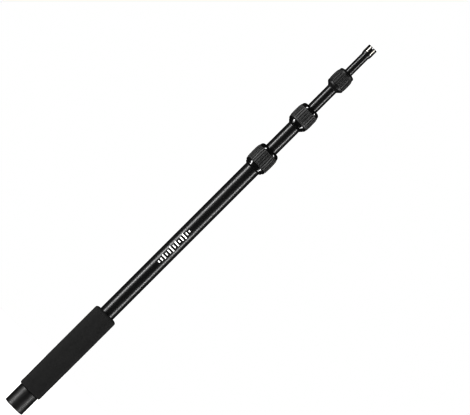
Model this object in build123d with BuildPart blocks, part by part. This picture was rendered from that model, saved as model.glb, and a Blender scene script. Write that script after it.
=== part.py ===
"""Telescoping boom pole: four nested tubes, three twist locks, foam hand grip, screw-on end cap and a threaded tip.

The pole stands on its butt end. +Z runs along the pole's axis from the butt to the tip, and the origin is the
centre of the butt face. All sizes are in millimetres. The pole is modelled partly drawn out, the way it is handed
to a user: every section shows a short stretch of tube between the twist locks.
"""
from build123d import *
import os

os.makedirs("parts", exist_ok=True)

# ---------------------------------------------------------------- driving dimensions
RUN = 0.05          # radial running clearance between sliding or turning round parts
LOCK_GAP = 0.12     # gap between the collet's cone and the collar's cone

# tubes: outer radius, inner radius, lower end, upper end
T1_R, T1_I, T1_Z0, T1_Z1 = 12.7, 11.5, 8.0, 532.0
T2_R, T2_I, T2_Z0, T2_Z1 = 10.5, 9.4, 107.0, 622.5
T3_R, T3_I, T3_Z0, T3_Z1 = 8.5, 7.5, 197.0, 699.5
T4_R, T4_I, T4_Z0, T4_Z1 = 6.5, 5.5, 250.0, 757.0

# guide rings: a split ring sits in a shallow groove turned in the lower end of each moving tube
GROOVE_UP = 3.0     # groove starts this far above the tube's lower end
GROOVE_DEEP = 0.3
G2_LEN, G3_LEN, G4_LEN = 45.0, 40.0, 35.0
GUIDE_SLOT = 1.6    # width of the slit along each guide ring

# butt end
CAP_R, CAP_TOP, CAP_FACE = 17.2, 34.7, 0.5
PAD_R, PAD_T = 14.5, 2.6
STUB_R = 5.0        # threaded stub of the end plug
PLUG_TOP = 38.0

# foam hand grip
FOAM_R, FOAM_Z0, FOAM_Z1 = 20.0, 35.1, 201.3
FOAM_LOW_FILLET, FOAM_TOP_FILLET = 1.6, 4.2

# twist locks: ribs round each rubber sleeve, and their groove
RIBS_1, RIBS_2, RIBS_3 = 30, 26, 20
RIB_GROOVE_DEG_1, RIB_GROOVE_DEG_2, RIB_GROOVE_DEG_3 = 3.6, 4.2, 5.4
RIB_DEEP_1, RIB_DEEP_2, RIB_DEEP_3 = 0.8, 0.8, 0.7

# ferrule threads and the collar bores that run on them
THR_1, THR_2, THR_3 = 14.6, 12.3, 10.2
THR_CLEAR = 0.2

# tip
TIP_FLARE_R, TIP_Z1 = 7.7, 764.0
STUD_R, STUD_Z0, STUD_Z1 = 4.76, 746.0, 772.2          # 3/8 inch stud
ADAPTER_R, ADAPTER_Z1 = 7.94, 775.0                    # 5/8 inch adapter
COIN_SLOT_W, COIN_SLOT_D = 2.0, 2.2


# ================================================================ BUTT END AND GRIP
# grip tube: the outermost tube, held in the hand
with BuildPart() as grip_tube:
    with BuildSketch(Plane.XY.offset(T1_Z0)):
        Circle(T1_R)
        Circle(T1_I, mode=Mode.SUBTRACT)
    extrude(amount=T1_Z1 - T1_Z0)
    chamfer(grip_tube.edges().group_by(Axis.Z)[0], 0.2)
grip_tube.part.label = "grip_tube"
export_step(grip_tube.part, "parts/grip_tube.step")

# end plug: bonded into the tube's lower end, with a threaded stub that the end cap screws onto
with BuildPart() as end_plug:
    with BuildSketch(Plane.XY.offset(T1_Z0)):
        Circle(T1_I)
    extrude(amount=PLUG_TOP - T1_Z0)
    with BuildSketch(Plane.XY.offset(PAD_T + 0.4)):
        Circle(STUB_R)
    extrude(amount=T1_Z0 - PAD_T - 0.4)
    chamfer(end_plug.edges().group_by(Axis.Z)[-1], 1.0)
    chamfer(end_plug.edges().group_by(Axis.Z)[0], 0.6)
    # lightening bore from the top, closed below
    with Locations(Plane.XY.offset(PLUG_TOP)):
        Hole(7.0, depth=PLUG_TOP - T1_Z0 - 6.0)
end_plug.part.label = "end_plug"
export_step(end_plug.part, "parts/end_plug.step")

# end cap: a thick-walled cup over the tube end, with a recess in its face for the bumper pad
with BuildPart() as end_cap:
    with BuildSketch(Plane.XY.offset(CAP_FACE)):
        Circle(CAP_R)
    extrude(amount=CAP_TOP - CAP_FACE)
    fillet(end_cap.edges().group_by(Axis.Z)[0], 1.0)
    fillet(end_cap.edges().group_by(Axis.Z)[-1], 0.6)
    with BuildSketch(Plane.XY.offset(T1_Z0)):
        Circle(T1_R)
    extrude(amount=CAP_TOP, mode=Mode.SUBTRACT)
    with BuildSketch(Plane.XY):
        Circle(PAD_R)
    extrude(amount=PAD_T, mode=Mode.SUBTRACT)
    with BuildSketch(Plane.XY):
        Circle(STUB_R)
    extrude(amount=T1_Z0 + 1, mode=Mode.SUBTRACT)
end_cap.part.label = "end_cap"
export_step(end_cap.part, "parts/end_cap.step")

# bumper pad: rubber disc bedded in the cap's face, standing half a millimetre proud of it
with BuildPart() as bumper_pad:
    with BuildSketch(Plane.XY):
        Circle(PAD_R)
    extrude(amount=PAD_T)
    fillet(bumper_pad.edges().group_by(Axis.Z)[0], 0.4)
bumper_pad.part.label = "bumper_pad"
export_step(bumper_pad.part, "parts/bumper_pad.step")

# foam grip: a soft sleeve stretched over the tube, tight corner below and a rolled edge above
with BuildPart() as foam_grip:
    with BuildSketch(Plane.XY.offset(FOAM_Z0)):
        Circle(FOAM_R)
    extrude(amount=FOAM_Z1 - FOAM_Z0)
    fillet(foam_grip.edges().group_by(Axis.Z)[0], FOAM_LOW_FILLET)
    fillet(foam_grip.edges().group_by(Axis.Z)[-1], FOAM_TOP_FILLET)
    with BuildSketch(Plane.XY.offset(FOAM_Z0 - 1)):
        Circle(T1_R)
    extrude(amount=FOAM_Z1 - FOAM_Z0 + 2, mode=Mode.SUBTRACT)
foam_grip.part.label = "foam_grip"
export_step(foam_grip.part, "parts/foam_grip.step")


# ================================================================ MOVING TUBES AND THEIR GUIDE RINGS
with BuildPart() as section_2:
    with BuildSketch(Plane.XZ):
        with BuildLine():
            g0, g1 = T2_Z0 + GROOVE_UP, T2_Z0 + GROOVE_UP + G2_LEN
            Polyline((T2_I, T2_Z0), (T2_R - 0.3, T2_Z0), (T2_R, T2_Z0 + 0.3), (T2_R, g0), (T2_R - GROOVE_DEEP, g0),
                     (T2_R - GROOVE_DEEP, g1), (T2_R, g1), (T2_R, T2_Z1), (T2_I, T2_Z1), close=True)
        make_face()
    revolve(axis=Axis.Z)
section_2.part.label = "section_2"
export_step(section_2.part, "parts/section_2.step")

with BuildPart() as section_3:
    with BuildSketch(Plane.XZ):
        with BuildLine():
            g0, g1 = T3_Z0 + GROOVE_UP, T3_Z0 + GROOVE_UP + G3_LEN
            Polyline((T3_I, T3_Z0), (T3_R - 0.3, T3_Z0), (T3_R, T3_Z0 + 0.3), (T3_R, g0), (T3_R - GROOVE_DEEP, g0),
                     (T3_R - GROOVE_DEEP, g1), (T3_R, g1), (T3_R, T3_Z1), (T3_I, T3_Z1), close=True)
        make_face()
    revolve(axis=Axis.Z)
section_3.part.label = "section_3"
export_step(section_3.part, "parts/section_3.step")

with BuildPart() as section_4:
    with BuildSketch(Plane.XZ):
        with BuildLine():
            g0, g1 = T4_Z0 + GROOVE_UP, T4_Z0 + GROOVE_UP + G4_LEN
            Polyline((T4_I, T4_Z0), (T4_R - 0.3, T4_Z0), (T4_R, T4_Z0 + 0.3), (T4_R, g0), (T4_R - GROOVE_DEEP, g0),
                     (T4_R - GROOVE_DEEP, g1), (T4_R, g1), (T4_R, T4_Z1), (T4_I, T4_Z1), close=True)
        make_face()
    revolve(axis=Axis.Z)
section_4.part.label = "section_4"
export_step(section_4.part, "parts/section_4.step")

# each guide ring runs in the bore of the tube outside it and turns in the groove of its own tube; it is the
# stop that meets the ferrule's inner lip when the section is pulled right out
with BuildPart() as guide_ring_2:
    with BuildSketch(Plane.XY.offset(T2_Z0 + GROOVE_UP + 0.1)):
        Circle(T1_I - RUN)
        Circle(T2_R - GROOVE_DEEP + RUN, mode=Mode.SUBTRACT)
        with Locations((T1_I, 0)):
            Rectangle(6, GUIDE_SLOT, mode=Mode.SUBTRACT)
    extrude(amount=G2_LEN - 0.2)
guide_ring_2.part.label = "guide_ring_2"
export_step(guide_ring_2.part, "parts/guide_ring_2.step")

with BuildPart() as guide_ring_3:
    with BuildSketch(Plane.XY.offset(T3_Z0 + GROOVE_UP + 0.1)):
        Circle(T2_I - RUN)
        Circle(T3_R - GROOVE_DEEP + RUN, mode=Mode.SUBTRACT)
        with Locations((T2_I, 0)):
            Rectangle(6, GUIDE_SLOT, mode=Mode.SUBTRACT)
    extrude(amount=G3_LEN - 0.2)
guide_ring_3.part.label = "guide_ring_3"
export_step(guide_ring_3.part, "parts/guide_ring_3.step")

with BuildPart() as guide_ring_4:
    with BuildSketch(Plane.XY.offset(T4_Z0 + GROOVE_UP + 0.1)):
        Circle(T3_I - RUN)
        Circle(T4_R - GROOVE_DEEP + RUN, mode=Mode.SUBTRACT)
        with Locations((T3_I, 0)):
            Rectangle(6, GUIDE_SLOT, mode=Mode.SUBTRACT)
    extrude(amount=G4_LEN - 0.2)
guide_ring_4.part.label = "guide_ring_4"
export_step(guide_ring_4.part, "parts/guide_ring_4.step")


# ================================================================ TWIST LOCK 1 (grip tube to section 2)
# ferrule: bonded over the tube end; polished bead behind, thread in front, and an inner lip past the tube end
with BuildPart() as ferrule_1:
    with BuildSketch(Plane.XZ):
        with BuildLine():
            Polyline((T1_R, T1_Z1), (T1_R, 515.0), (13.0, 515.0))
            ThreePointArc((13.0, 515.0), (14.05, 515.95), (15.0, 516.75))
            ThreePointArc((15.0, 516.75), (15.4, 517.15), (15.68, 517.65))
            ThreePointArc((15.68, 517.65), (15.84, 518.35), (15.88, 519.0))
            ThreePointArc((15.88, 519.0), (15.82, 519.2), (15.55, 519.27))
            Polyline((15.55, 519.27), (THR_1, 519.27), (THR_1, 536.4), (THR_1 - 0.6, 537.0), (T2_R + 0.3, 537.0),
                     (T2_R + 0.3, T1_Z1), (T1_R, T1_Z1))
        make_face()
    revolve(axis=Axis.Z)
ferrule_1.part.label = "ferrule_1"
export_step(ferrule_1.part, "parts/ferrule_1.step")

# collet: nylon ring slit from the front, squeezed onto the inner tube by the collar's cone
with BuildPart() as collet_1:
    with BuildSketch(Plane.XZ):
        with BuildLine():
            Polyline((T2_R + RUN, 537.1), (13.9, 537.1), (13.9, 538.6), (12.25, 546.3), (T2_R + RUN, 546.3), close=True)
        make_face()
    revolve(axis=Axis.Z)
    with BuildSketch(Plane.XY.offset(539.0)):
        with PolarLocations(T2_R + 2, 4, start_angle=45):
            Rectangle(8, 1.2)
    extrude(amount=10, mode=Mode.SUBTRACT)
collet_1.part.label = "collet_1"
export_step(collet_1.part, "parts/collet_1.step")

# collar: the nut of the lock; polished lip behind, barrel under the rubber sleeve, cone inside
with BuildPart() as collar_1:
    with BuildSketch(Plane.XZ):
        with BuildLine():
            Polyline((THR_1 + THR_CLEAR, 538.6), (THR_1 + THR_CLEAR, 519.42), (16.6, 519.42))
            ThreePointArc((16.6, 519.42), (17.03, 519.5), (17.28, 519.78))
            ThreePointArc((17.28, 519.78), (17.52, 520.4), (17.7, 521.1))
            ThreePointArc((17.7, 521.1), (17.92, 522.0), (18.04, 522.95))
            ThreePointArc((18.04, 522.95), (18.02, 523.3), (17.8, 523.45))
            Polyline((17.8, 523.45), (16.9, 523.5), (16.9, 550.0), (15.25, 550.0), (15.25, 546.6),
                     (12.25 + LOCK_GAP - 0.02, 546.6), (13.9 + LOCK_GAP, 538.6), (THR_1 + THR_CLEAR, 538.6))
        make_face()
    revolve(axis=Axis.Z)
collar_1.part.label = "collar_1"
export_step(collar_1.part, "parts/collar_1.step")

# front ring: polished nose of the collar; its spigot holds the collet in
with BuildPart() as front_ring_1:
    with BuildSketch(Plane.XZ):
        with BuildLine():
            Polyline((T2_R + 0.35, 555.55), (T2_R + 0.35, 546.7), (15.25, 546.7), (15.25, 550.05), (16.6, 550.05),
                     (16.6, 550.15), (16.85, 550.15))
            ThreePointArc((16.85, 550.15), (17.03, 550.24), (17.08, 550.5))
            ThreePointArc((17.08, 550.5), (16.93, 551.4), (16.6, 552.3))
            ThreePointArc((16.6, 552.3), (16.15, 553.05), (15.5, 553.75))
            ThreePointArc((15.5, 553.75), (14.75, 554.45), (13.8, 555.05))
            ThreePointArc((13.8, 555.05), (12.6, 555.38), (11.2, 555.5))
            Polyline((11.2, 555.5), (T2_R + 0.35, 555.55))
        make_face()
    revolve(axis=Axis.Z)
front_ring_1.part.label = "front_ring_1"
export_step(front_ring_1.part, "parts/front_ring_1.step")

# rubber sleeve: barrel shaped, with grooves along it that leave the ribs; the groove's cutter is made first
with BuildPart() as groove_1:
    with BuildSketch(Plane.XZ):
        with BuildLine():
            Polyline((17.8, 526.2), (18.15, 535.9), (17.85, 544.2), (17.6, 546.8), (20, 547.9), (20, 525.1),
                     (17.8, 526.2))
        make_face()
    revolve(axis=Axis.Z, revolution_arc=RIB_GROOVE_DEG_1)

with BuildPart() as sleeve_1:
    with BuildSketch(Plane.XZ):
        with BuildLine():
            Polyline((16.9, 549.95), (16.9, 523.7), (17.9, 523.7))
            ThreePointArc((17.9, 523.7), (18.38, 523.95), (18.6, 524.6))
            Spline((18.6, 524.6), (18.72, 526.5), (18.88, 530.0), (19.0, 535.5), (18.92, 541.0), (18.62, 545.4),
                   (18.42, 546.8), (17.95, 548.2), (17.65, 549.2), (17.3, 549.95))
            Line((17.3, 549.95), (16.9, 549.95))
        make_face()
    revolve(axis=Axis.Z)
    with PolarLocations(0, RIBS_1):
        add(groove_1.part, mode=Mode.SUBTRACT)
sleeve_1.part.label = "sleeve_1"
export_step(sleeve_1.part, "parts/sleeve_1.step")


# ================================================================ TWIST LOCK 2 (section 2 to section 3)
with BuildPart() as ferrule_2:
    with BuildSketch(Plane.XZ):
        with BuildLine():
            Polyline((T2_R, T2_Z1), (T2_R, 604.95), (10.9, 604.95))
            ThreePointArc((10.9, 604.95), (12.0, 606.25), (13.05, 607.4))
            ThreePointArc((13.05, 607.4), (13.7, 607.98), (14.12, 608.6))
            ThreePointArc((14.12, 608.6), (14.32, 609.25), (14.1, 609.65))
            Polyline((14.1, 609.65), (THR_2, 609.65), (THR_2, 626.4), (THR_2 - 0.6, 627.0), (T3_R + 0.3, 627.0),
                     (T3_R + 0.3, T2_Z1), (T2_R, T2_Z1))
        make_face()
    revolve(axis=Axis.Z)
ferrule_2.part.label = "ferrule_2"
export_step(ferrule_2.part, "parts/ferrule_2.step")

with BuildPart() as collet_2:
    with BuildSketch(Plane.XZ):
        with BuildLine():
            Polyline((T3_R + RUN, 627.1), (11.6, 627.1), (11.6, 628.6), (10.1, 635.6), (T3_R + RUN, 635.6), close=True)
        make_face()
    revolve(axis=Axis.Z)
    with BuildSketch(Plane.XY.offset(629.0)):
        with PolarLocations(T3_R + 2, 4, start_angle=45):
            Rectangle(8, 1.1)
    extrude(amount=10, mode=Mode.SUBTRACT)
collet_2.part.label = "collet_2"
export_step(collet_2.part, "parts/collet_2.step")

with BuildPart() as collar_2:
    with BuildSketch(Plane.XZ):
        with BuildLine():
            Polyline((THR_2 + THR_CLEAR, 628.6), (THR_2 + THR_CLEAR, 609.8), (15.1, 609.8))
            ThreePointArc((15.1, 609.8), (15.46, 609.88), (15.68, 610.15))
            ThreePointArc((15.68, 610.15), (16.26, 611.6), (16.62, 613.1))
            ThreePointArc((16.62, 613.1), (16.64, 613.5), (16.4, 613.72))
            Polyline((16.4, 613.72), (15.0, 613.78), (15.0, 638.35), (12.95, 638.35), (12.95, 635.9),
                     (10.1 + LOCK_GAP - 0.04, 635.9), (11.6 + LOCK_GAP, 628.6), (THR_2 + THR_CLEAR, 628.6))
        make_face()
    revolve(axis=Axis.Z)
collar_2.part.label = "collar_2"
export_step(collar_2.part, "parts/collar_2.step")

with BuildPart() as front_ring_2:
    with BuildSketch(Plane.XZ):
        with BuildLine():
            Polyline((T3_R + 0.35, 643.92), (T3_R + 0.35, 636.0), (12.95, 636.0), (12.95, 638.4), (15.3, 638.4),
                     (15.3, 638.7), (15.5, 638.7))
            ThreePointArc((15.5, 638.7), (15.66, 638.78), (15.7, 639.0))
            ThreePointArc((15.7, 639.0), (15.48, 640.0), (15.1, 641.0))
            ThreePointArc((15.1, 641.0), (14.6, 641.75), (13.85, 642.45))
            ThreePointArc((13.85, 642.45), (12.4, 643.35), (10.5, 643.85))
            Polyline((10.5, 643.85), (T3_R + 0.35, 643.92))
        make_face()
    revolve(axis=Axis.Z)
front_ring_2.part.label = "front_ring_2"
export_step(front_ring_2.part, "parts/front_ring_2.step")

with BuildPart() as groove_2:
    with BuildSketch(Plane.XZ):
        with BuildLine():
            Polyline((16.6, 618.6), (16.7, 621.9), (16.5, 630.0), (16.25, 634.4), (18.5, 635.4), (18.5, 617.6),
                     (16.6, 618.6))
        make_face()
    revolve(axis=Axis.Z, revolution_arc=RIB_GROOVE_DEG_2)

with BuildPart() as sleeve_2:
    with BuildSketch(Plane.XZ):
        with BuildLine():
            Polyline((15.0, 638.3), (15.0, 613.98), (16.45, 613.98))
            ThreePointArc((16.45, 613.98), (16.85, 614.22), (17.02, 614.85))
            Spline((17.02, 614.85), (17.16, 616.0), (17.42, 619.4), (17.52, 622.5), (17.42, 628.0), (17.27, 633.4),
                   (17.06, 634.8), (16.6, 636.6), (16.15, 638.3))
            Line((16.15, 638.3), (15.0, 638.3))
        make_face()
    revolve(axis=Axis.Z)
    with PolarLocations(0, RIBS_2):
        add(groove_2.part, mode=Mode.SUBTRACT)
sleeve_2.part.label = "sleeve_2"
export_step(sleeve_2.part, "parts/sleeve_2.step")


# ================================================================ TWIST LOCK 3 (section 3 to section 4)
# the smallest lock is matt all over: its ferrule is a plain cone without a bead
with BuildPart() as ferrule_3:
    with BuildSketch(Plane.XZ):
        with BuildLine():
            Polyline((T3_R, T3_Z1), (T3_R, 686.8), (8.75, 686.8))
            ThreePointArc((8.75, 686.8), (9.95, 688.42), (11.45, 689.75))
            ThreePointArc((11.45, 689.75), (11.52, 689.96), (11.3, 690.05))
            Polyline((11.3, 690.05), (THR_3, 690.05), (THR_3, 702.0), (THR_3 - 0.5, 702.5), (T4_R + 0.3, 702.5),
                     (T4_R + 0.3, T3_Z1), (T3_R, T3_Z1))
        make_face()
    revolve(axis=Axis.Z)
ferrule_3.part.label = "ferrule_3"
export_step(ferrule_3.part, "parts/ferrule_3.step")

with BuildPart() as collet_3:
    with BuildSketch(Plane.XZ):
        with BuildLine():
            Polyline((T4_R + RUN, 702.6), (9.6, 702.6), (9.6, 704.0), (8.2, 710.6), (T4_R + RUN, 710.6), close=True)
        make_face()
    revolve(axis=Axis.Z)
    with BuildSketch(Plane.XY.offset(704.4)):
        with PolarLocations(T4_R + 2, 4, start_angle=45):
            Rectangle(8, 1.0)
    extrude(amount=10, mode=Mode.SUBTRACT)
collet_3.part.label = "collet_3"
export_step(collet_3.part, "parts/collet_3.step")

with BuildPart() as collar_3:
    with BuildSketch(Plane.XZ):
        with BuildLine():
            Polyline((THR_3 + THR_CLEAR, 704.0), (THR_3 + THR_CLEAR, 690.2), (11.9, 690.2))
            ThreePointArc((11.9, 690.2), (12.8, 690.95), (13.6, 691.85))
            ThreePointArc((13.6, 691.85), (14.1, 692.85), (14.36, 694.0))
            ThreePointArc((14.36, 694.0), (14.43, 694.7), (14.42, 695.3))
            Polyline((14.42, 695.3), (14.25, 695.5), (12.0, 695.5), (12.0, 717.1), (10.9, 717.1), (10.9, 710.9),
                     (8.2 + LOCK_GAP - 0.05, 710.9), (9.6 + LOCK_GAP, 704.0), (THR_3 + THR_CLEAR, 704.0))
        make_face()
    revolve(axis=Axis.Z)
collar_3.part.label = "collar_3"
export_step(collar_3.part, "parts/collar_3.step")

with BuildPart() as front_ring_3:
    with BuildSketch(Plane.XZ):
        with BuildLine():
            Polyline((T4_R + 0.35, 721.9), (T4_R + 0.35, 711.0), (10.9, 711.0), (10.9, 717.2), (12.5, 717.2),
                     (12.5, 717.55), (12.8, 717.55))
            ThreePointArc((12.8, 717.55), (12.98, 717.65), (13.04, 717.9))
            ThreePointArc((13.04, 717.9), (12.75, 718.85), (12.1, 719.65))
            ThreePointArc((12.1, 719.65), (10.9, 720.5), (9.2, 721.0))
            ThreePointArc((9.2, 721.0), (7.95, 721.2), (7.5, 721.9))
            Line((7.5, 721.9), (T4_R + 0.35, 721.9))
        make_face()
    revolve(axis=Axis.Z)
front_ring_3.part.label = "front_ring_3"
export_step(front_ring_3.part, "parts/front_ring_3.step")

with BuildPart() as groove_3:
    with BuildSketch(Plane.XZ):
        with BuildLine():
            Polyline((13.75, 697.2), (14.05, 704.0), (13.7, 710.6), (13.3, 713.4), (15.8, 714.6), (15.8, 696.2),
                     (13.75, 697.2))
        make_face()
    revolve(axis=Axis.Z, revolution_arc=RIB_GROOVE_DEG_3)

with BuildPart() as sleeve_3:
    with BuildSketch(Plane.XZ):
        with BuildLine():
            Polyline((12.0, 717.05), (12.0, 695.95), (14.15, 695.95))
            ThreePointArc((14.15, 695.95), (14.38, 696.05), (14.46, 696.4))
            Spline((14.46, 696.4), (14.6, 699.0), (14.77, 704.2), (14.55, 709.5), (14.32, 712.0), (13.95, 713.6),
                   (13.42, 714.9), (13.05, 716.0), (13.0, 717.05))
            Line((13.0, 717.05), (12.0, 717.05))
        make_face()
    revolve(axis=Axis.Z)
    with PolarLocations(0, RIBS_3):
        add(groove_3.part, mode=Mode.SUBTRACT)
sleeve_3.part.label = "sleeve_3"
export_step(sleeve_3.part, "parts/sleeve_3.step")


# ================================================================ TIP
# tip fitting: spigot bonded in the last tube, flared head outside, threaded hole for the stud
with BuildPart() as tip_fitting:
    with BuildSketch(Plane.XZ):
        with BuildLine():
            Polyline((STUD_R, TIP_Z1), (STUD_R, STUD_Z0), (0, STUD_Z0), (0, 742.0), (T4_I - 0.5, 742.0),
                     (T4_I, 742.5), (T4_I, T4_Z1), (T4_R, T4_Z1))
            Spline((T4_R, T4_Z1), (6.95, 758.6), (7.45, 760.2), (TIP_FLARE_R, 762.0), tangents=[(0.1, 1), (0, 1)])
            Polyline((TIP_FLARE_R, 762.0), (TIP_FLARE_R, 763.6), (TIP_FLARE_R - 0.4, TIP_Z1), (STUD_R, TIP_Z1))
        make_face()
    revolve(axis=Axis.Z)
tip_fitting.part.label = "tip_fitting"
export_step(tip_fitting.part, "parts/tip_fitting.step")

# 3/8 inch stud screwed into the fitting
with BuildPart() as tip_stud:
    with BuildSketch(Plane.XY.offset(STUD_Z0)):
        Circle(STUD_R)
    extrude(amount=STUD_Z1 - STUD_Z0)
    chamfer(tip_stud.edges().group_by(Axis.Z)[-1], 0.8)
tip_stud.part.label = "tip_stud"
export_step(tip_stud.part, "parts/tip_stud.step")

# 5/8 inch adapter screwed over the stud, with a coin slot across its end
with BuildPart() as thread_adapter:
    with BuildSketch(Plane.XY.offset(TIP_Z1)):
        Circle(ADAPTER_R)
        Circle(STUD_R, mode=Mode.SUBTRACT)
    extrude(amount=ADAPTER_Z1 - TIP_Z1)
    chamfer(thread_adapter.edges().group_by(Axis.Z)[-1].sort_by(SortBy.RADIUS)[-1], 0.5)
    with BuildSketch(Plane.XY.offset(ADAPTER_Z1 - COIN_SLOT_D)):
        Rectangle(COIN_SLOT_W, 2 * ADAPTER_R + 2)
    extrude(amount=COIN_SLOT_D + 1, mode=Mode.SUBTRACT)
thread_adapter.part.label = "thread_adapter"
export_step(thread_adapter.part, "parts/thread_adapter.step")
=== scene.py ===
import math

import bmesh
import bpy
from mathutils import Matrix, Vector, noise


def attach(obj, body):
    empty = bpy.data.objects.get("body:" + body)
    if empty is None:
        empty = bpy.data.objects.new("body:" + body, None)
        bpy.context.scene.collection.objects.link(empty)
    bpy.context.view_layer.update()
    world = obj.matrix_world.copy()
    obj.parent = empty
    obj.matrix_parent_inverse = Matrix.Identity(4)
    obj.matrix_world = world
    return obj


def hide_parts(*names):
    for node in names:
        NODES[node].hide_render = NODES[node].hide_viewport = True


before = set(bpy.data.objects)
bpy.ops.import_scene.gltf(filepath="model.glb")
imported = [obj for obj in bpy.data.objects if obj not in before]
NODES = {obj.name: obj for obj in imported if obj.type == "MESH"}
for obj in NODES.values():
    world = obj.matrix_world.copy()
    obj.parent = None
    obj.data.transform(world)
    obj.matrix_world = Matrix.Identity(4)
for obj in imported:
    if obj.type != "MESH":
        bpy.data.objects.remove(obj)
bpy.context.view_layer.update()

MM = 0.001
scene = bpy.context.scene


# ------------------------------------------------------------------ camera
# Level, square to the pole, and rolled so that the pole rises to the upper right at 45 degrees.
LENS, SENSOR = 600.0, 36.0
FRAME_W = 470 * 1.525 * MM          # width of the frame at the pole
DIST = FRAME_W * LENS / SENSOR
RIGHT = Vector((0.70641, 0.0, 0.70781))
UP = Vector((-0.70781, 0.0, 0.70641))
BACK = RIGHT.cross(UP)              # from the pole to the camera: -Y

cam_data = bpy.data.cameras.new("camera")
cam = bpy.data.objects.new("camera", cam_data)
scene.collection.objects.link(cam)
cam_data.lens, cam_data.sensor_width = LENS, SENSOR
cam_data.clip_start, cam_data.clip_end = 0.5, 60.0
cam.location = Vector((0.02335, 0.0, 0.4543)) + BACK * DIST
rot = cam.matrix_world.to_3x3()
for i, v in enumerate((RIGHT, UP, BACK)):
    rot.col[i] = v
cam.rotation_mode = "QUATERNION"
cam.rotation_quaternion = rot.to_quaternion()
scene.camera = cam
scene.view_settings.view_transform = "Standard"
scene.view_settings.gamma = 0.6       # the firm contrast of a catalogue picture


# ------------------------------------------------------------------ node helpers
class Mat:
    """A node material with a Principled shader and short ways to add nodes."""

    def __init__(self, name, **sockets):
        self.m = bpy.data.materials.new(name)
        self.m.use_nodes = True
        self.t = self.m.node_tree
        self.t.nodes.clear()
        self.out = self.t.nodes.new("ShaderNodeOutputMaterial")
        self.p = self.t.nodes.new("ShaderNodeBsdfPrincipled")
        self.t.links.new(self.p.outputs[0], self.out.inputs[0])
        self.obj = self.t.nodes.new("ShaderNodeTexCoord").outputs["Object"]
        self._bump = None
        for k, v in sockets.items():
            self.p.inputs[k.replace("_", " ")].default_value = v

    def link(self, a, b):
        self.t.links.new(a, b)
        return b

    def math(self, op, a, b=None, c=None, clamp=False):
        n = self.t.nodes.new("ShaderNodeMath")
        n.operation, n.use_clamp = op, clamp
        for i, x in enumerate((a, b, c)):
            if x is None:
                continue
            if isinstance(x, (int, float)):
                n.inputs[i].default_value = x
            else:
                self.link(x, n.inputs[i])
        return n.outputs[0]

    def scaled(self, sx, sy, sz, rz=0.0, offset=(0, 0, 0)):
        n = self.t.nodes.new("ShaderNodeMapping")
        n.inputs["Scale"].default_value = (sx, sy, sz)
        n.inputs["Rotation"].default_value = (0, 0, rz)
        n.inputs["Location"].default_value = offset
        self.link(self.obj, n.inputs["Vector"])
        return n.outputs[0]

    def noise(self, vec, scale=1.0, detail=4.0, rough=0.55, lac=2.0, dist=0.0):
        n = self.t.nodes.new("ShaderNodeTexNoise")
        n.inputs["Scale"].default_value = scale
        n.inputs["Detail"].default_value = detail
        n.inputs["Roughness"].default_value = rough
        n.inputs["Lacunarity"].default_value = lac
        n.inputs["Distortion"].default_value = dist
        self.link(vec, n.inputs["Vector"])
        return n.outputs[0]

    def voronoi(self, vec, scale=1.0, feature="F1", rand=1.0):
        n = self.t.nodes.new("ShaderNodeTexVoronoi")
        n.feature = feature
        n.inputs["Scale"].default_value = scale
        n.inputs["Randomness"].default_value = rand
        self.link(vec, n.inputs["Vector"])
        return n.outputs["Distance"]

    def remap(self, x, a, b, c, d, smooth=False):
        n = self.t.nodes.new("ShaderNodeMapRange")
        n.interpolation_type = "SMOOTHSTEP" if smooth else "LINEAR"
        n.clamp = True
        self.link(x, n.inputs["Value"])
        for k, v in zip(("From Min", "From Max", "To Min", "To Max"), (a, b, c, d)):
            n.inputs[k].default_value = v
        return n.outputs[0]

    def ramp(self, x, stops, mode="LINEAR"):
        n = self.t.nodes.new("ShaderNodeValToRGB")
        r = n.color_ramp
        r.interpolation = mode
        while len(r.elements) < len(stops):
            r.elements.new(0.5)
        for e, (pos, col) in zip(r.elements, stops):
            e.position = pos
            e.color = (col, col, col, 1) if isinstance(col, (int, float)) else (*col, 1)
        self.link(x, n.inputs[0])
        return n.outputs[0]

    def mix(self, f, a, b):
        n = self.t.nodes.new("ShaderNodeMix")
        n.data_type = "RGBA"
        for sock, x in ((n.inputs["Factor"], f), (n.inputs[6], a), (n.inputs[7], b)):
            if isinstance(x, (int, float)):
                if sock.type == "RGBA":
                    sock.default_value = (x, x, x, 1)
                else:
                    sock.default_value = x
            elif isinstance(x, tuple):
                sock.default_value = (*x, 1)
            else:
                self.link(x, sock)
        return n.outputs[2]

    def set(self, name, x):
        self.link(x, self.p.inputs[name])

    def bump(self, height, distance, strength=1.0):
        """Adds a height in units of distance metres on top of those before."""
        n = self.t.nodes.new("ShaderNodeBump")
        n.inputs["Strength"].default_value = strength
        n.inputs["Distance"].default_value = distance
        self.link(height, n.inputs["Height"])
        if self._bump is not None:
            self.link(self._bump, n.inputs["Normal"])
        self._bump = n.outputs[0]
        self.link(self._bump, self.p.inputs["Normal"])

    def xyz(self):
        n = self.t.nodes.new("ShaderNodeSeparateXYZ")
        self.link(self.obj, n.inputs[0])
        return n.outputs


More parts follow.
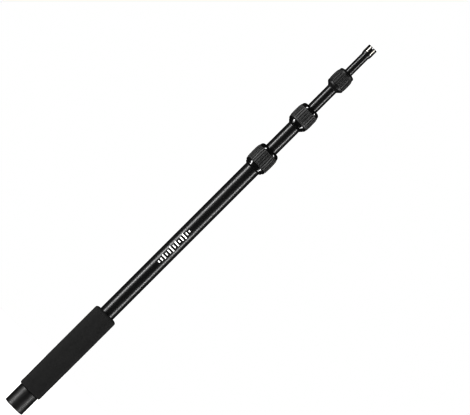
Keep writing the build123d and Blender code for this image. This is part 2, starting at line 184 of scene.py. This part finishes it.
# ------------------------------------------------------------------ materials
def tube_material(name, seed, mark=False, rough=(0.32, 0.35)):
    """Black anodised drawn tube: fine grain along the tube, soft streaks, and a few hairline rubs from sliding."""
    m = Mat(name, Base_Color=(0.015, 0.015, 0.015, 1), Metallic=0.0, IOR=1.7)
    streak = m.noise(m.scaled(900, 900, 9, rz=seed, offset=(seed, 0, 0)), detail=5, rough=0.6)
    grain = m.noise(m.scaled(5200, 5200, 130, rz=seed), detail=3, rough=0.6)
    cloud = m.noise(m.scaled(60, 60, 14, offset=(0, 0, seed)), detail=3)
    rub = m.noise(m.scaled(1900, 1900, 16, rz=seed + 1, offset=(0, 0, seed * 2)), detail=2, rough=0.4)
    rubs = m.remap(rub, 0.76, 0.82, 0.0, 0.4, smooth=True)
    base = m.mix(m.remap(cloud, 0.3, 0.7, 0, 1), (0.0085, 0.0085, 0.0088), (0.0125, 0.0124, 0.0122))
    base = m.mix(m.remap(streak, 0.35, 0.75, 0, 0.5), base, (0.018, 0.0178, 0.0175))
    base = m.mix(rubs, base, (0.06, 0.06, 0.059))
    r = m.math("ADD", m.remap(streak, 0.3, 0.7, rough[0], rough[1]), m.remap(cloud, 0.3, 0.7, -0.012, 0.015))
    if mark:
        # printed mark: a plain row of bars of different heights across the tube, like a sound level display
        x, y, z = m.xyz()
        n, z0, pitch = 13, 0.3115, 0.00545
        u = m.math("MULTIPLY", m.math("SUBTRACT", z, z0), 1 / pitch)
        idx = m.math("FLOOR", u)
        off = m.math("ABSOLUTE", m.math("SUBTRACT", m.math("SUBTRACT", u, idx), 0.5))
        heights = [0.34, 0.52, 0.78, 0.46, 0.66, 1.0, 0.58, 0.86, 0.42, 0.72, 0.94, 0.5, 0.3]
        stops = [(i / n, h) for i, h in enumerate(heights)]
        tall = m.ramp(m.math("MULTIPLY", m.math("ADD", idx, 0.5), 1 / n), stops, "CONSTANT")
        arc = m.math("ABSOLUTE", m.math("MULTIPLY", m.math("ARCTAN2", x, m.math("MULTIPLY", y, -1.0)), 12.7))
        over = m.math("SUBTRACT", arc, m.math("MULTIPLY", tall, 5.4))        # mm past the bar's end
        ends = m.remap(over, -0.12, 0.12, 1.0, 0.0)
        sides = m.remap(off, 0.20, 0.235, 1.0, 0.0)
        run = m.math("MULTIPLY", m.math("GREATER_THAN", u, 0.0), m.math("LESS_THAN", u, float(n)))
        ink = m.math("MULTIPLY", m.math("MULTIPLY", ends, sides), run)
        worn = m.remap(m.noise(m.scaled(2600, 2600, 700), detail=4, rough=0.7), 0.28, 0.4, 0.55, 1.0)
        ink = m.math("MULTIPLY", ink, worn)
        base = m.mix(ink, base, (0.78, 0.78, 0.77))
        r = m.math("ADD", r, m.math("MULTIPLY", ink, 0.2))
        m.bump(ink, 0.00002, 0.6)
    m.set("Base Color", base)
    m.set("Roughness", r)
    m.bump(grain, 0.0000012, 0.35)
    m.bump(streak, 0.000004, 0.2)
    return m.m


def gloss_material(name, seed):
    """Polished black ring: deep gloss with fine turning lines and faint handling marks."""
    m = Mat(name, Base_Color=(0.01, 0.01, 0.01, 1), IOR=1.8)
    x, y, z = m.xyz()
    turn = m.noise(m.scaled(40, 40, 9000), detail=2, rough=0.5)
    smudge = m.noise(m.scaled(240, 240, 240, offset=(seed, seed, 0)), detail=4, rough=0.6)
    scr = m.noise(m.scaled(500, 500, 6000, offset=(0, seed, 0)), detail=2, rough=0.4)
    marks = m.remap(scr, 0.72, 0.78, 0.0, 0.5, smooth=True)
    base = m.mix(m.remap(smudge, 0.35, 0.7, 0, 1), (0.008, 0.008, 0.0082), (0.014, 0.014, 0.014))
    base = m.mix(marks, base, (0.06, 0.06, 0.06))
    m.set("Base Color", base)
    m.set("Roughness", m.math("ADD", m.remap(smudge, 0.3, 0.7, 0.10, 0.18), m.remap(turn, 0.3, 0.7, -0.02, 0.04)))
    m.bump(turn, 0.0000015, 0.6)
    return m.m


def moulded_material(name, lo, hi, rough, seed, ior=1.5, grain=3600, depth=0.000006):
    """Black moulded polymer: a fine eroded grain with a slightly uneven sheen."""
    m = Mat(name, Base_Color=(lo, lo, lo, 1), IOR=ior)
    cloud = m.noise(m.scaled(70, 70, 70, offset=(seed, 0, 0)), detail=4, rough=0.6)
    fine = m.noise(m.scaled(grain, grain, grain), detail=3, rough=0.6)
    scuff = m.noise(m.scaled(700, 700, 220, rz=0.6, offset=(0, seed, 0)), detail=3, rough=0.5)
    s = m.remap(scuff, 0.68, 0.78, 0, 0.5, smooth=True)
    base = m.mix(m.remap(cloud, 0.3, 0.7, 0, 1), (lo, lo, lo), (hi, hi, hi * 0.99))
    base = m.mix(s, base, (hi * 2.6, hi * 2.6, hi * 2.55))
    m.set("Base Color", base)
    m.set("Roughness", m.math("ADD", m.remap(cloud, 0.3, 0.7, rough - 0.03, rough + 0.05), m.remap(fine, 0.3, 0.7, -0.04, 0.04)))
    m.bump(fine, depth, 0.8)
    return m.m


def rubber_material(name, seed, lo=0.020, hi=0.036, rough=0.6):
    """Matt rubber: pale bloom and handling dust over a fine pebble grain."""
    m = Mat(name, Base_Color=(lo, lo, lo, 1), IOR=1.56, Sheen_Weight=0.02, Sheen_Roughness=0.4)
    bloom = m.noise(m.scaled(120, 120, 60, offset=(seed, 0, 0)), detail=5, rough=0.65)
    grain = m.noise(m.scaled(2600, 2600, 2600), detail=3, rough=0.6)
    pits = m.voronoi(m.scaled(1800, 1800, 1800), 1.0)
    base = m.mix(m.remap(bloom, 0.3, 0.72, 0, 1), (lo, lo, lo), (hi, hi, hi * 0.985))
    base = m.mix(m.remap(grain, 0.5, 0.8, 0, 0.35), base, (hi * 1.3, hi * 1.3, hi * 1.28))
    m.set("Base Color", base)
    m.set("Roughness", m.remap(bloom, 0.3, 0.7, rough - 0.05, rough + 0.12))
    m.bump(grain, 0.000010, 0.4)
    m.bump(pits, 0.000007, 0.3)
    return m.m


def foam_material(name):
    """Closed-cell foam with no gloss: a raised cell pattern, darker in the low creases between the cells as painted
    shade.
    """
    m = Mat(name, Base_Color=(0.02, 0.02, 0.02, 1), IOR=1.4, Specular_IOR_Level=0.12)
    cells = m.voronoi(m.scaled(1500, 1500, 1500), 1.0)
    fine = m.voronoi(m.scaled(3600, 3600, 3600), 1.0)
    cloud = m.noise(m.scaled(45, 45, 30), detail=5, rough=0.65)
    crease_shade = m.math("ADD", m.math("MULTIPLY", cells, 0.65), m.math("MULTIPLY", fine, 0.35))
    # painted shade: the colour darkens where the cell bump below is lowest, in the creases between cells
    base = m.mix(m.remap(crease_shade, 0.15, 0.75, 0, 1), (0.051, 0.051, 0.051), (0.0175, 0.0175, 0.0175))
    base = m.mix(m.remap(cloud, 0.3, 0.7, 0, 0.4), base, (0.039, 0.039, 0.0385))
    m.set("Base Color", base)
    m.set("Roughness", m.remap(cloud, 0.3, 0.7, 0.9, 1.0))
    m.bump(m.math("MULTIPLY", cells, -1.0), 0.00016, 0.8)
    m.bump(m.math("MULTIPLY", fine, -1.0), 0.00006, 0.7)
    return m.m


def nylon_material(name):
    """Natural nylon: milky, waxy, with faint machining lines."""
    m = Mat(name, Base_Color=(0.72, 0.70, 0.64, 1), IOR=1.53, Subsurface_Weight=0.08, Subsurface_Scale=0.0015)
    cloud = m.noise(m.scaled(150, 150, 150), detail=4)
    turn = m.noise(m.scaled(30, 30, 4500), detail=2)
    m.set("Base Color", m.mix(m.remap(cloud, 0.3, 0.7, 0, 1), (0.70, 0.68, 0.61), (0.78, 0.76, 0.70)))
    m.set("Roughness", m.math("ADD", m.remap(cloud, 0.3, 0.7, 0.38, 0.5), m.remap(turn, 0.3, 0.7, -0.03, 0.05)))
    m.bump(turn, 0.000015, 0.7)
    return m.m


def plated_material(name):
    """Nickel plate on turned steel: bright, with smudges, turning lines and darker wear."""
    m = Mat(name, Base_Color=(0.6, 0.59, 0.57, 1), Metallic=1.0)
    smudge = m.noise(m.scaled(300, 300, 300), detail=5, rough=0.65)
    turn = m.noise(m.scaled(60, 60, 9000), detail=2)
    spot = m.remap(m.noise(m.scaled(900, 900, 900), detail=3), 0.62, 0.75, 0, 0.5, smooth=True)
    base = m.mix(m.remap(smudge, 0.3, 0.7, 0, 1), (0.36, 0.352, 0.335), (0.48, 0.472, 0.455))
    m.set("Base Color", m.mix(spot, base, (0.22, 0.21, 0.19)))
    m.set("Roughness", m.math("ADD", m.remap(smudge, 0.3, 0.7, 0.2, 0.34), m.remap(turn, 0.3, 0.7, -0.04, 0.05)))
    m.bump(turn, 0.000004, 0.7)
    return m.m


MAT = {
    "tube_1": tube_material("anodised_tube_1", 0.3, mark=True),
    "tube_2": tube_material("anodised_tube_2", 1.1),
    "tube_3": tube_material("anodised_tube_3", 1.9),
    "tube_4": tube_material("anodised_tube_4", 2.6),
    "gloss": gloss_material("gloss_black_ring", 0.4),
    "matt": moulded_material("matt_black_lock", 0.006, 0.010, 0.48, 0.7, ior=1.7),
    "rubber": rubber_material("sleeve_rubber", 0.2, lo=0.034, hi=0.048, rough=0.46),
    # near-black rubber for the sleeve ends: painted shade for the dark gaps beside the collar's lip and the front ring
    "shade_band": rubber_material("sleeve_painted_shade", 0.3, lo=0.004, hi=0.007, rough=0.72),
    "rubber_fine": rubber_material("small_sleeve_rubber", 0.9, lo=0.018, hi=0.027, rough=0.52),
    "pad": rubber_material("pad_rubber", 0.5, lo=0.026, hi=0.038, rough=0.7),
    "cap": moulded_material("cap_polymer", 0.008, 0.013, 0.46, 0.1, ior=1.68, grain=2600),
    "foam": foam_material("grip_foam"),
    "nylon": nylon_material("natural_nylon"),
    "steel": plated_material("plated_steel"),
}

NODE_MAT = {
    "grip_tube": "tube_1", "section_2": "tube_2", "section_3": "tube_3", "section_4": "tube_4", "tip_fitting": "tube_4",
    "ferrule_1": "gloss", "collar_1": "gloss", "front_ring_1": "gloss",
    "ferrule_2": "gloss", "collar_2": "gloss", "front_ring_2": "gloss",
    "ferrule_3": "matt", "collar_3": "matt", "front_ring_3": "matt",
    "end_cap": "cap", "bumper_pad": "pad", "end_plug": "nylon",
    "collet_1": "nylon", "collet_2": "nylon", "collet_3": "nylon",
    "guide_ring_2": "nylon", "guide_ring_3": "nylon", "guide_ring_4": "nylon",
    "tip_stud": "steel", "thread_adapter": "steel",
    "sleeve_1": "rubber", "sleeve_2": "rubber", "sleeve_3": "rubber_fine", "foam_grip": "foam",
}
for node, key in NODE_MAT.items():
    o = NODES[node]
    o.data.materials.clear()
    o.data.materials.append(MAT[key])


# ------------------------------------------------------------------ meshes turned about the pole's axis
def turned(name, rings, count, material, closed=True):
    """Closed solid from rings, each a list of count points; the last ring joins the first."""
    verts = [p for ring in rings for p in ring]
    n = len(rings)
    faces = []
    for i in range(n if closed else n - 1):
        a, b = i * count, ((i + 1) % n) * count
        for k in range(count):
            k2 = (k + 1) % count
            faces.append((a + k, a + k2, b + k2, b + k))
    mesh = bpy.data.meshes.new(name)
    mesh.from_pydata(verts, [], faces)
    mesh.materials.append(material)
    mesh.update()
    bm = bmesh.new()
    bm.from_mesh(mesh)
    bmesh.ops.recalc_face_normals(bm, faces=bm.faces)
    bm.to_mesh(mesh)
    bm.free()
    mesh.shade_smooth()
    o = bpy.data.objects.new(name, mesh)
    scene.collection.objects.link(o)
    return o


def smooth(x):
    x = min(1.0, max(0.0, x))
    return x * x * (3 - 2 * x)


def curve_r(points, z):
    """Radius at height z on a smooth curve through (z, r) points (monotone cubic)."""
    if z <= points[0][0]:
        return points[0][1]
    for i in range(len(points) - 1):
        (z0, r0), (z1, r1) = points[i], points[i + 1]
        if z <= z1:
            def slope(j):
                if j <= 0 or j >= len(points) - 1:
                    k = 0 if j <= 0 else len(points) - 2
                    return (points[k + 1][1] - points[k][1]) / (points[k + 1][0] - points[k][0])
                s0 = (points[j][1] - points[j - 1][1]) / (points[j][0] - points[j - 1][0])
                s1 = (points[j + 1][1] - points[j][1]) / (points[j + 1][0] - points[j][0])
                return 0.0 if s0 * s1 <= 0 else 2 * s0 * s1 / (s0 + s1)
            h = z1 - z0
            t = (z - z0) / h
            m0, m1 = slope(i) * h, slope(i + 1) * h
            return ((2 * t**3 - 3 * t**2 + 1) * r0 + (t**3 - 2 * t**2 + t) * m0
                    + (-2 * t**3 + 3 * t**2) * r1 + (t**3 - t**2) * m1)
    return points[-1][1]


def rib_sleeve(name, node, body, ribs, r_in, profile, depth, groove, low, high, material, shade_band=None):
    """Ribbed rubber sleeve: profile is (z, r) in mm, groove the share of the pitch that a groove takes, low and high
    the distances from the lower and upper ends at which the grooves begin and reach their full depth. The last
    argument gives the widths at the lower and the upper end that take a near-black rubber as painted shade for the gaps
    beside the collar's lip and the front ring."""
    per = 20
    count = ribs * per
    z0, z1 = profile[0][0], profile[-1][0]
    zs = [z0, z0 + 0.12, z0 + 0.3, z0 + 0.6]
    step = 0.45
    z = z0 + 1.0
    while z < z1 - 0.9:
        zs.append(z)
        z += step
    zs += [z1 - 0.6, z1 - 0.3, z1 - 0.12, z1]

    def ring(radius, z, cut):
        pts = []
        for k in range(count):
            p = (k % per) / per
            d = abs(p - 0.5) * 2                      # 0 at the groove's middle, 1 at the rib's middle
            g = 1 - smooth((d - groove * 0.45) / (groove * 0.75))
            crown = 0.05 * (1 - ((d - 1) / 1.0) ** 2)  # a rounding of the rib tops, multiplied by zero below, so the tops stay flat
            th = 2 * math.pi * k / count
            r = radius - cut * (depth * g + 0.10 * (1 - d) ** 2) + 0 * crown
            pts.append((r * MM * math.cos(th), r * MM * math.sin(th), z * MM))
        return pts

    rings = []
    for z in zs:
        r = curve_r(profile, z)
        cut = smooth((z - z0 - low[0]) / (low[1] - low[0])) * smooth((z1 - high[0] - z) / (high[1] - high[0]))
        rings.append(ring(r, z, cut))
    top = curve_r(profile, z1)
    rings.append(ring((top + r_in) / 2, z1, 0))
    rings.append(ring(r_in, z1, 0))
    rings.append(ring(r_in, (z0 + z1) / 2, 0))
    rings.append(ring(r_in, z0, 0))
    rings.append(ring((curve_r(profile, z0) + r_in) / 2, z0, 0))
    o = turned(name, rings, count, material)
    # painted shade: faces in the end bands take the near-black rubber, standing in for the shade of the gap beside the
    # collar's lip and the front ring
    if shade_band:
        o.data.materials.append(MAT["shade_band"])
        for face in o.data.polygons:
            if not z0 + shade_band[0] < face.center.z / MM < z1 - shade_band[1]:
                face.material_index = 1
    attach(o, body)
    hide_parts(node)
    return o


SLEEVE_1 = [(523.7, 17.95), (523.8, 18.2), (524.0, 18.42), (524.25, 18.54), (524.6, 18.62), (526.5, 18.72), (530.0, 18.88),
            (535.5, 19.0), (541.0, 18.92), (545.4, 18.62), (546.8, 18.42), (548.2, 17.95), (549.2, 17.65), (549.95, 17.3)]
SLEEVE_2 = [(613.98, 16.5), (614.08, 16.72), (614.25, 16.88), (614.85, 17.03), (616.0, 17.16), (619.4, 17.42), (622.5, 17.52),
            (628.0, 17.42), (633.4, 17.27), (634.8, 17.06), (636.6, 16.6), (638.3, 16.15)]
SLEEVE_3 = [(695.95, 14.2), (696.1, 14.4), (696.4, 14.47), (699.0, 14.6), (704.2, 14.77), (709.5, 14.55), (712.0, 14.32),
            (713.6, 13.95), (714.9, 13.42), (716.0, 13.05), (717.05, 13.0)]
# the end bands of sleeves 1 and 2 take the near-black rubber as painted shade of the gaps at their ends
rib_sleeve("sleeve_1_ribbed", "sleeve_1", "lock_1_collar", 30, 16.9, SLEEVE_1, 0.95, 0.42, (1.2, 2.4), (0.6, 2.2), MAT["rubber"],
           shade_band=(1.2, 0.85))
rib_sleeve("sleeve_2_ribbed", "sleeve_2", "lock_2_collar", 26, 15.0, SLEEVE_2, 0.9, 0.42, (2.6, 5.0), (0.6, 4.2), MAT["rubber"],
           shade_band=(1.2, 0.85))
rib_sleeve("sleeve_3_ribbed", "sleeve_3", "lock_3_collar", 20, 12.0, SLEEVE_3, 0.7, 0.42, (0.4, 1.6), (1.0, 3.4),
           MAT["rubber_fine"])


# ------------------------------------------------------------------ foam grip
def foam_grip():
    """Soft foam sleeve with a tight lower corner, a rolled upper edge, a faint waviness and an open-cell skin."""
    count = 420
    r_in, z0, z1 = 12.72, 35.1, 201.3
    path = []                                         # (r, z) from the bore's lower end, up the outside, to the bore
    path += [(r_in, z0), (14.5, z0 - 0.0), (16.6, z0), (17.9, z0 + 0.05)]
    c, r = 1.7, 20.0
    for i in range(1, 9):
        a = math.pi / 2 * i / 8
        path.append((r - c + c * math.sin(a), z0 + c - c * math.cos(a)))
    z = z0 + c
    step = 0.5
    while z < z1 - 4.4:
        z += step
        path.append((r, z))
    # rolled edge: an ellipse 6.6 mm wide and 4 mm high
    for i in range(1, 15):
        a = math.pi / 2 * i / 14
        path.append((r - 6.6 * (1 - math.cos(a)), z1 - 4.0 + 4.0 * math.sin(a)))
    path += [(r_in, z1 - 0.12)]
    for zz in (160, 118, 76):
        path.append((r_in, zz))
    rings = []
    for rr, zz in path:
        ring = []
        out = smooth((rr - r_in) / 3.0)
        for k in range(count):
            th = 2 * math.pi * k / count
            cx, cy = math.cos(th), math.sin(th)
            wave = noise.noise(Vector((cx * 1.1, cy * 1.1, zz / 17.0)))
            cell = noise.noise(Vector((cx * rr * 0.95, cy * rr * 0.95, zz * 0.95)))
            pore = noise.noise(Vector((cx * rr * 2.1, cy * rr * 2.1, zz * 2.1)) + Vector((7, 3, 1)))
            d = out * (0.11 * wave + 0.05 * cell - 0.07 * max(0.0, pore - 0.25))
            ring.append(((rr + d) * MM * cx, (rr + d) * MM * cy, zz * MM))
        rings.append(ring)
    o = turned("foam_grip_soft", rings, count, MAT["foam"])
    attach(o, "grip_section")
    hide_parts("foam_grip")
    return o


foam_grip()


# ------------------------------------------------------------------ thread adapter
def thread_adapter():
    """5/8 inch-27 male thread as a true helix, chamfered at its mouth, with a coin slot across it."""
    count, pitch = 144, 25.4 / 27
    R, r_in, z0, z1 = 7.94, 4.78, 764.0, 775.0
    step = pitch / 12
    zs = [z0]
    while zs[-1] < z1 - step * 0.5:
        zs.append(zs[-1] + step)
    zs[-1] = z1
    rings = []
    for z in zs:
        ring = []
        for k in range(count):
            f = k / count
            ph = ((z - z0) / pitch - f) % 1.0
            v = abs(ph - 0.5) * 2                     # 1 at the crest
            tooth = smooth((v - 0.08) / 0.84)
            run = smooth((z - z0 - 0.5) / 0.5)
            r = R - 0.50 * (1 - tooth) * run
            r = min(r, R - max(0.0, z - (z1 - 0.75)) * 0.95)
            r = min(r, R - max(0.0, (z0 + 0.25) - z) * 1.0)
            th = 2 * math.pi * f
            ring.append((r * MM * math.cos(th), r * MM * math.sin(th), z * MM))
        rings.append(ring)
    for r, z in ((6.2, z1), (r_in + 0.5, z1), (r_in, z1 - 0.5), (r_in, z0 + 5.5), (r_in, z0), (6.4, z0)):
        rings.append([(r * MM * math.cos(2 * math.pi * k / count), r * MM * math.sin(2 * math.pi * k / count), z * MM)
                      for k in range(count)])
    o = turned("thread_adapter_cut", rings, count, MAT["steel"])
    # coin slot
    bm = bmesh.new()
    bmesh.ops.create_cube(bm, size=1.0)
    for v in bm.verts:
        v.co = Vector((v.co.x * 2.0 * MM, v.co.y * 18 * MM, v.co.z * 2.4 * MM + (775.0 - 1.0) * MM))
    cut_mesh = bpy.data.meshes.new("slot_cut")
    bm.to_mesh(cut_mesh)
    bm.free()
    cutter = bpy.data.objects.new("slot_cut", cut_mesh)
    scene.collection.objects.link(cutter)
    mod = o.modifiers.new("slot", "BOOLEAN")
    mod.operation, mod.object, mod.solver = "DIFFERENCE", cutter, "EXACT"
    deps = bpy.context.evaluated_depsgraph_get()
    done = bpy.data.meshes.new_from_object(o.evaluated_get(deps))
    o.modifiers.clear()
    o.data = done
    bpy.data.objects.remove(cutter)
    o.data.set_sharp_from_angle(angle=math.radians(38))
    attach(o, "tip_section")
    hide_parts("thread_adapter")
    return o


thread_adapter()


# ------------------------------------------------------------------ floor and light
def floor():
    m = Mat("pale_floor", Base_Color=(0.86, 0.86, 0.855, 1), Roughness=0.9, Specular_IOR_Level=0.1)
    soft = m.noise(m.scaled(3, 3, 3), detail=3)
    m.set("Base Color", m.mix(m.remap(soft, 0.3, 0.7, 0, 1), (0.85, 0.85, 0.845), (0.88, 0.88, 0.875)))
    x, y, z = m.xyz()
    away = m.math("SQRT", m.math("ADD", m.math("MULTIPLY", x, x), m.math("MULTIPLY", y, y)))
    m.p.inputs["Emission Color"].default_value = (1, 1, 1, 1)
    m.set("Emission Strength", m.remap(away, 0.1, 1.2, 0.70, 1.0, smooth=True))
    mesh = bpy.data.meshes.new("floor")
    n, R = 96, 3.0
    verts = [(R * math.cos(2 * math.pi * k / n), R * math.sin(2 * math.pi * k / n), -0.0004) for k in range(n)]
    mesh.from_pydata(verts, [], [tuple(range(n))])
    mesh.materials.append(m.m)
    o = bpy.data.objects.new("floor", mesh)
    scene.collection.objects.link(o)
    o.visible_glossy = False
    o.visible_shadow = False


floor()


def strip(name, azimuth, dist, width, z0, z1, radiance):
    """Tall soft light. Azimuth is from the camera's side of the pole, positive towards +X."""
    data = bpy.data.lights.new(name, "AREA")
    data.shape = "RECTANGLE"
    data.size, data.size_y = width, z1 - z0
    data.energy = radiance * math.pi * width * (z1 - z0)
    o = bpy.data.objects.new(name, data)
    a = math.radians(azimuth)
    o.location = (dist * math.sin(a), -dist * math.cos(a), (z0 + z1) / 2)
    o.rotation_mode = "QUATERNION"
    o.rotation_quaternion = Vector((-math.sin(a), math.cos(a), 0)).to_track_quat("-Z", "Y")
    o.visible_camera = False
    scene.collection.objects.link(o)
    return o


strip("strip_left", -56, 1.7, 0.52, -1.3, 2.3, 14.5)
strip("strip_right", 71, 1.7, 0.44, -1.3, 2.3, 14.0)

top = bpy.data.lights.new("top_soft", "AREA")
top.shape, top.size, top.size_y = "RECTANGLE", 2.6, 2.6
top.energy = 1.0 * math.pi * 2.6 * 2.6
top_o = bpy.data.objects.new("top_soft", top)
top_o.location = (0.3, -0.3, 3.2)
top_o.visible_camera = False
top_o.visible_glossy = False
scene.collection.objects.link(top_o)

world = bpy.data.worlds.new("studio")
scene.world = world
world.use_nodes = True
wt = world.node_tree
wt.nodes.clear()
w_out = wt.nodes.new("ShaderNodeOutputWorld")
w_mix = wt.nodes.new("ShaderNodeMixShader")
w_path = wt.nodes.new("ShaderNodeLightPath")
w_dark = wt.nodes.new("ShaderNodeBackground")
w_white = wt.nodes.new("ShaderNodeBackground")
w_dark.inputs[0].default_value = (0.06, 0.06, 0.06, 1)
w_white.inputs[0].default_value = (1, 1, 1, 1)
w_mirror = wt.nodes.new("ShaderNodeBackground")
w_mirror.inputs[0].default_value = (0.004, 0.004, 0.004, 1)
w_split = wt.nodes.new("ShaderNodeMixShader")
wt.links.new(w_path.outputs["Is Glossy Ray"], w_split.inputs[0])
wt.links.new(w_dark.outputs[0], w_split.inputs[1])
wt.links.new(w_mirror.outputs[0], w_split.inputs[2])
wt.links.new(w_path.outputs["Is Camera Ray"], w_mix.inputs[0])
wt.links.new(w_split.outputs[0], w_mix.inputs[1])
wt.links.new(w_white.outputs[0], w_mix.inputs[2])
wt.links.new(w_mix.outputs[0], w_out.inputs[0])
